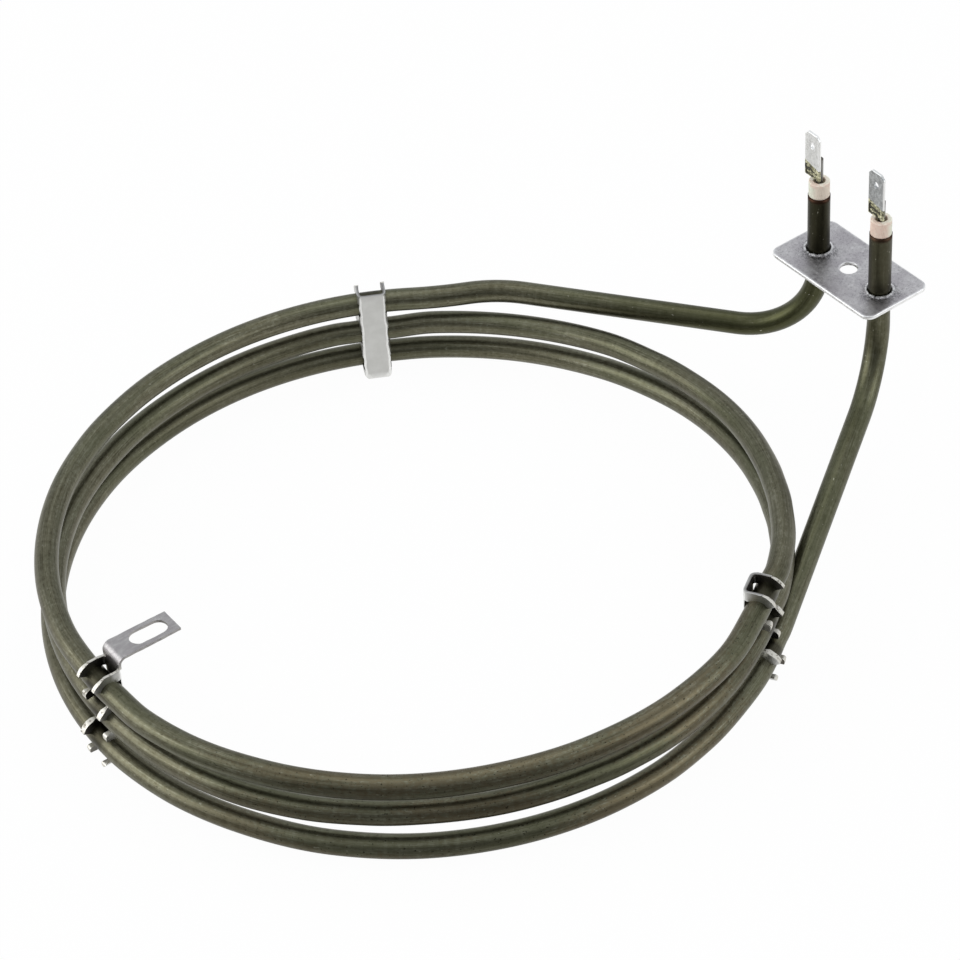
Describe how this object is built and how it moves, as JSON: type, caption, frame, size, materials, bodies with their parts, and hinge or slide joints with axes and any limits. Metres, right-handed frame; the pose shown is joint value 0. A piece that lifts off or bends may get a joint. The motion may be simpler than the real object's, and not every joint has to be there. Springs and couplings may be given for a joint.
{
  "type": "tubular heating element",
  "caption": "Round oven heating element: a sheathed rod wound in stacked turns round a fan space, with comb clips, a slotted bracket, a screw flange and blade terminals.",
  "frame": {"origin": "centre of the flange's fixing hole, in the face of the flange that seats on the oven wall", "axes": "+Z out of the oven along the terminals, +X from the ring to the flange, +Y along the flange's long side towards leg A"},
  "size_m": [0.2658, 0.2158, 0.0982],
  "materials": {
    "sheath": "satin",
    "flange": "satin",
    "clip": "satin",
    "oxide": "matte",
    "sealant": "matte",
    "bush": "matte",
    "pin": "satin",
    "tab": "satin"
  },
  "bodies": {
    "root": {"sheath": "sheath", "flange": "flange", "clip_in": "clip", "clip_bracket": "clip", "clip_out": "clip", "filling_a": "oxide", "seal_a": "sealant", "bush_a": "bush", "pin_a": "pin", "tab_a": "tab", "filling_b": "oxide", "seal_b": "sealant", "bush_b": "bush", "pin_b": "pin", "tab_b": "tab"}
  },
  "joints": []
}
